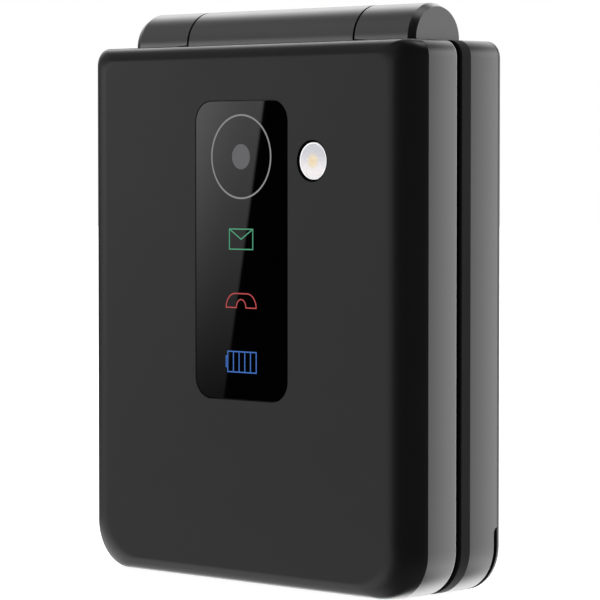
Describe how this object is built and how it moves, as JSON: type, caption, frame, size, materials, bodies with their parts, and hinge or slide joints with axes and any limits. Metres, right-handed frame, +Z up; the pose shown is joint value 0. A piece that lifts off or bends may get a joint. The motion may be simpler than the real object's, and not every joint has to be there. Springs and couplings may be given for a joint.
{
  "type": "flip phone",
  "caption": "Closed flip phone with a hinged lid, front indicator window, torch, keypad and lift-off battery cover.",
  "frame": {"origin": "middle of the flat lower edge that the closed phone stands on", "axes": "+X to the right as the lid faces you, +Y from the lid's front to the battery cover, +Z up to the hinge"},
  "size_m": [0.0755, 0.021, 0.094],
  "materials": {
    "shell": "satin moulded black",
    "window": "gloss, printed black behind",
    "screen_glass": "gloss",
    "lens": "frosted",
    "keys": "semi-gloss",
    "rubber": "matte",
    "dark_plastic": "matte",
    "clear_plastic": "clear",
    "circuit_board": "solder mask",
    "steel": "satin",
    "chrome": "bright",
    "gold": "plated",
    "display": "gloss",
    "battery_wrap": "wrap",
    "film": "flex film",
    "emitter": "phosphor"
  },
  "bodies": {
    "base": {"base_front_cover": "shell", "base_rear_case": "shell", "battery": "battery_wrap", "battery_contacts": "gold", "main_board": "circuit_board", "board_shield": "steel", "dome_sheet": "steel", "keypad_mat": "rubber", "sim_holder": "steel", "usb_port": "steel", "headset_jack": "dark_plastic", "loudspeaker": "dark_plastic", "microphone": "steel", "vibration_motor": "steel", "base_screws": "steel", "hinge_cam_head": "steel", "hinge_pin": "steel"},
    "lid": {"lid_front_cover": "shell", "lid_inner_cover": "shell", "window_glass": "window", "camera_module": "dark_plastic", "torch_lens": "lens", "torch_reflector": "chrome", "torch_led": "emitter", "light_guide": "clear_plastic", "indicator_board": "circuit_board", "lid_board": "circuit_board", "display_module": "display", "display_frame": "steel", "display_glass": "screen_glass", "earpiece": "steel", "earpiece_grille": "dark_plastic", "lid_magnet": "chrome", "lid_screws": "steel", "lid_bumpers": "rubber", "hinge_cartridge": "steel", "hinge_spring": "steel", "hinge_cam_follower": "steel", "hinge_flex": "film"},
    "battery_cover": {"battery_cover": "shell"},
    "nav_ring": {"nav_ring": "keys"},
    "volume_key": {"volume_key": "keys"},
    "soft_key_left": {"soft_key_left": "keys"},
    "soft_key_right": {"soft_key_right": "keys"},
    "call_key": {"call_key": "keys"},
    "end_key": {"end_key": "keys"},
    "ok_key": {"ok_key": "keys"},
    "key_1": {"key_1": "keys"},
    "key_2": {"key_2": "keys"},
    "key_3": {"key_3": "keys"},
    "key_4": {"key_4": "keys"},
    "key_5": {"key_5": "keys"},
    "key_6": {"key_6": "keys"},
    "key_7": {"key_7": "keys"},
    "key_8": {"key_8": "keys"},
    "key_9": {"key_9": "keys"},
    "key_star": {"key_star": "keys"},
    "key_0": {"key_0": "keys"},
    "key_hash": {"key_hash": "keys"}
  },
  "joints": [
    {"name": "lid_hinge", "type": "hinge", "parent": "base", "child": "lid", "pos_m": [0, 0.0016, 0.0883], "axis": [-1, 0, 0], "range_deg": [0, 160]},
    {"name": "soft_key_left_press", "type": "slide", "parent": "base", "child": "soft_key_left", "axis": [0, 1, 0], "range_m": [0, 0.0003], "stiffness_N_per_m": 1500},
    {"name": "soft_key_right_press", "type": "slide", "parent": "base", "child": "soft_key_right", "axis": [0, 1, 0], "range_m": [0, 0.0003], "stiffness_N_per_m": 1500},
    {"name": "call_key_press", "type": "slide", "parent": "base", "child": "call_key", "axis": [0, 1, 0], "range_m": [0, 0.0003], "stiffness_N_per_m": 1500},
    {"name": "end_key_press", "type": "slide", "parent": "base", "child": "end_key", "axis": [0, 1, 0], "range_m": [0, 0.0003], "stiffness_N_per_m": 1500},
    {"name": "ok_key_press", "type": "slide", "parent": "base", "child": "ok_key", "axis": [0, 1, 0], "range_m": [0, 0.0003], "stiffness_N_per_m": 1500},
    {"name": "key_1_press", "type": "slide", "parent": "base", "child": "key_1", "axis": [0, 1, 0], "range_m": [0, 0.0003], "stiffness_N_per_m": 1500},
    {"name": "key_2_press", "type": "slide", "parent": "base", "child": "key_2", "axis": [0, 1, 0], "range_m": [0, 0.0003], "stiffness_N_per_m": 1500},
    {"name": "key_3_press", "type": "slide", "parent": "base", "child": "key_3", "axis": [0, 1, 0], "range_m": [0, 0.0003], "stiffness_N_per_m": 1500},
    {"name": "key_4_press", "type": "slide", "parent": "base", "child": "key_4", "axis": [0, 1, 0], "range_m": [0, 0.0003], "stiffness_N_per_m": 1500},
    {"name": "key_5_press", "type": "slide", "parent": "base", "child": "key_5", "axis": [0, 1, 0], "range_m": [0, 0.0003], "stiffness_N_per_m": 1500},
    {"name": "key_6_press", "type": "slide", "parent": "base", "child": "key_6", "axis": [0, 1, 0], "range_m": [0, 0.0003], "stiffness_N_per_m": 1500},
    {"name": "key_7_press", "type": "slide", "parent": "base", "child": "key_7", "axis": [0, 1, 0], "range_m": [0, 0.0003], "stiffness_N_per_m": 1500},
    {"name": "key_8_press", "type": "slide", "parent": "base", "child": "key_8", "axis": [0, 1, 0], "range_m": [0, 0.0003], "stiffness_N_per_m": 1500},
    {"name": "key_9_press", "type": "slide", "parent": "base", "child": "key_9", "axis": [0, 1, 0], "range_m": [0, 0.0003], "stiffness_N_per_m": 1500},
    {"name": "key_star_press", "type": "slide", "parent": "base", "child": "key_star", "axis": [0, 1, 0], "range_m": [0, 0.0003], "stiffness_N_per_m": 1500},
    {"name": "key_0_press", "type": "slide", "parent": "base", "child": "key_0", "axis": [0, 1, 0], "range_m": [0, 0.0003], "stiffness_N_per_m": 1500},
    {"name": "key_hash_press", "type": "slide", "parent": "base", "child": "key_hash", "axis": [0, 1, 0], "range_m": [0, 0.0003], "stiffness_N_per_m": 1500},
    {"name": "nav_ring_tilt", "type": "hinge", "parent": "base", "child": "nav_ring", "pos_m": [0, 0.0019, 0.0636], "axis": [1, 0, 0], "range_deg": [-1.2, 1.2], "stiffness_Nm_per_rad": 0.08},
    {"name": "volume_key_rock", "type": "hinge", "parent": "base", "child": "volume_key", "pos_m": [-0.0365, 0.0064, 0.06], "axis": [0, 1, 0], "range_deg": [-1.2, 1.2], "stiffness_Nm_per_rad": 0.08},
    {"name": "battery_cover_lift", "type": "slide", "parent": "base", "child": "battery_cover", "axis": [0, 1, 0], "range_m": [0, 0.03]}
  ]
}
